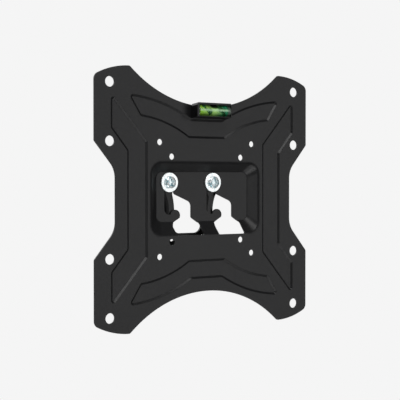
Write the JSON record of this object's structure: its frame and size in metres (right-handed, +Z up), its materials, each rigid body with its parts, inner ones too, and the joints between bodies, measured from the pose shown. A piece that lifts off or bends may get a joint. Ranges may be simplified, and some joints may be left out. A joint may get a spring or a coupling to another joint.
{
  "type": "fixed tv wall bracket",
  "caption": "Flat pressed-steel television bracket with curved sides, hung by bayonet slots on a small wall plate, with a spirit level.",
  "frame": {"origin": "centre of the 200 x 200 mm fixing pattern, on the television side face of the large plate", "axes": "+Z up, +Y towards the wall, +X to the right as seen from the television side"},
  "size_m": [0.23, 0.026, 0.229],
  "materials": {
    "powder_coated_steel": "satin powder coat",
    "zinc_plated_steel": "bright zinc plating",
    "black_abs": "moulded ABS",
    "clear_acrylic": "polished",
    "white_plastic": "moulded",
    "green_fluid": "clear liquid"
  },
  "bodies": {
    "root": {"tv_plate": "powder_coated_steel", "wall_plate": "powder_coated_steel", "screw_left": "zinc_plated_steel", "screw_right": "zinc_plated_steel", "washer_left": "zinc_plated_steel", "washer_right": "zinc_plated_steel", "weld_nut_left": "zinc_plated_steel", "weld_nut_right": "zinc_plated_steel", "level_housing": "black_abs", "vial_tube": "clear_acrylic", "vial_plug": "white_plastic", "vial_fluid": "green_fluid"}
  },
  "joints": []
}
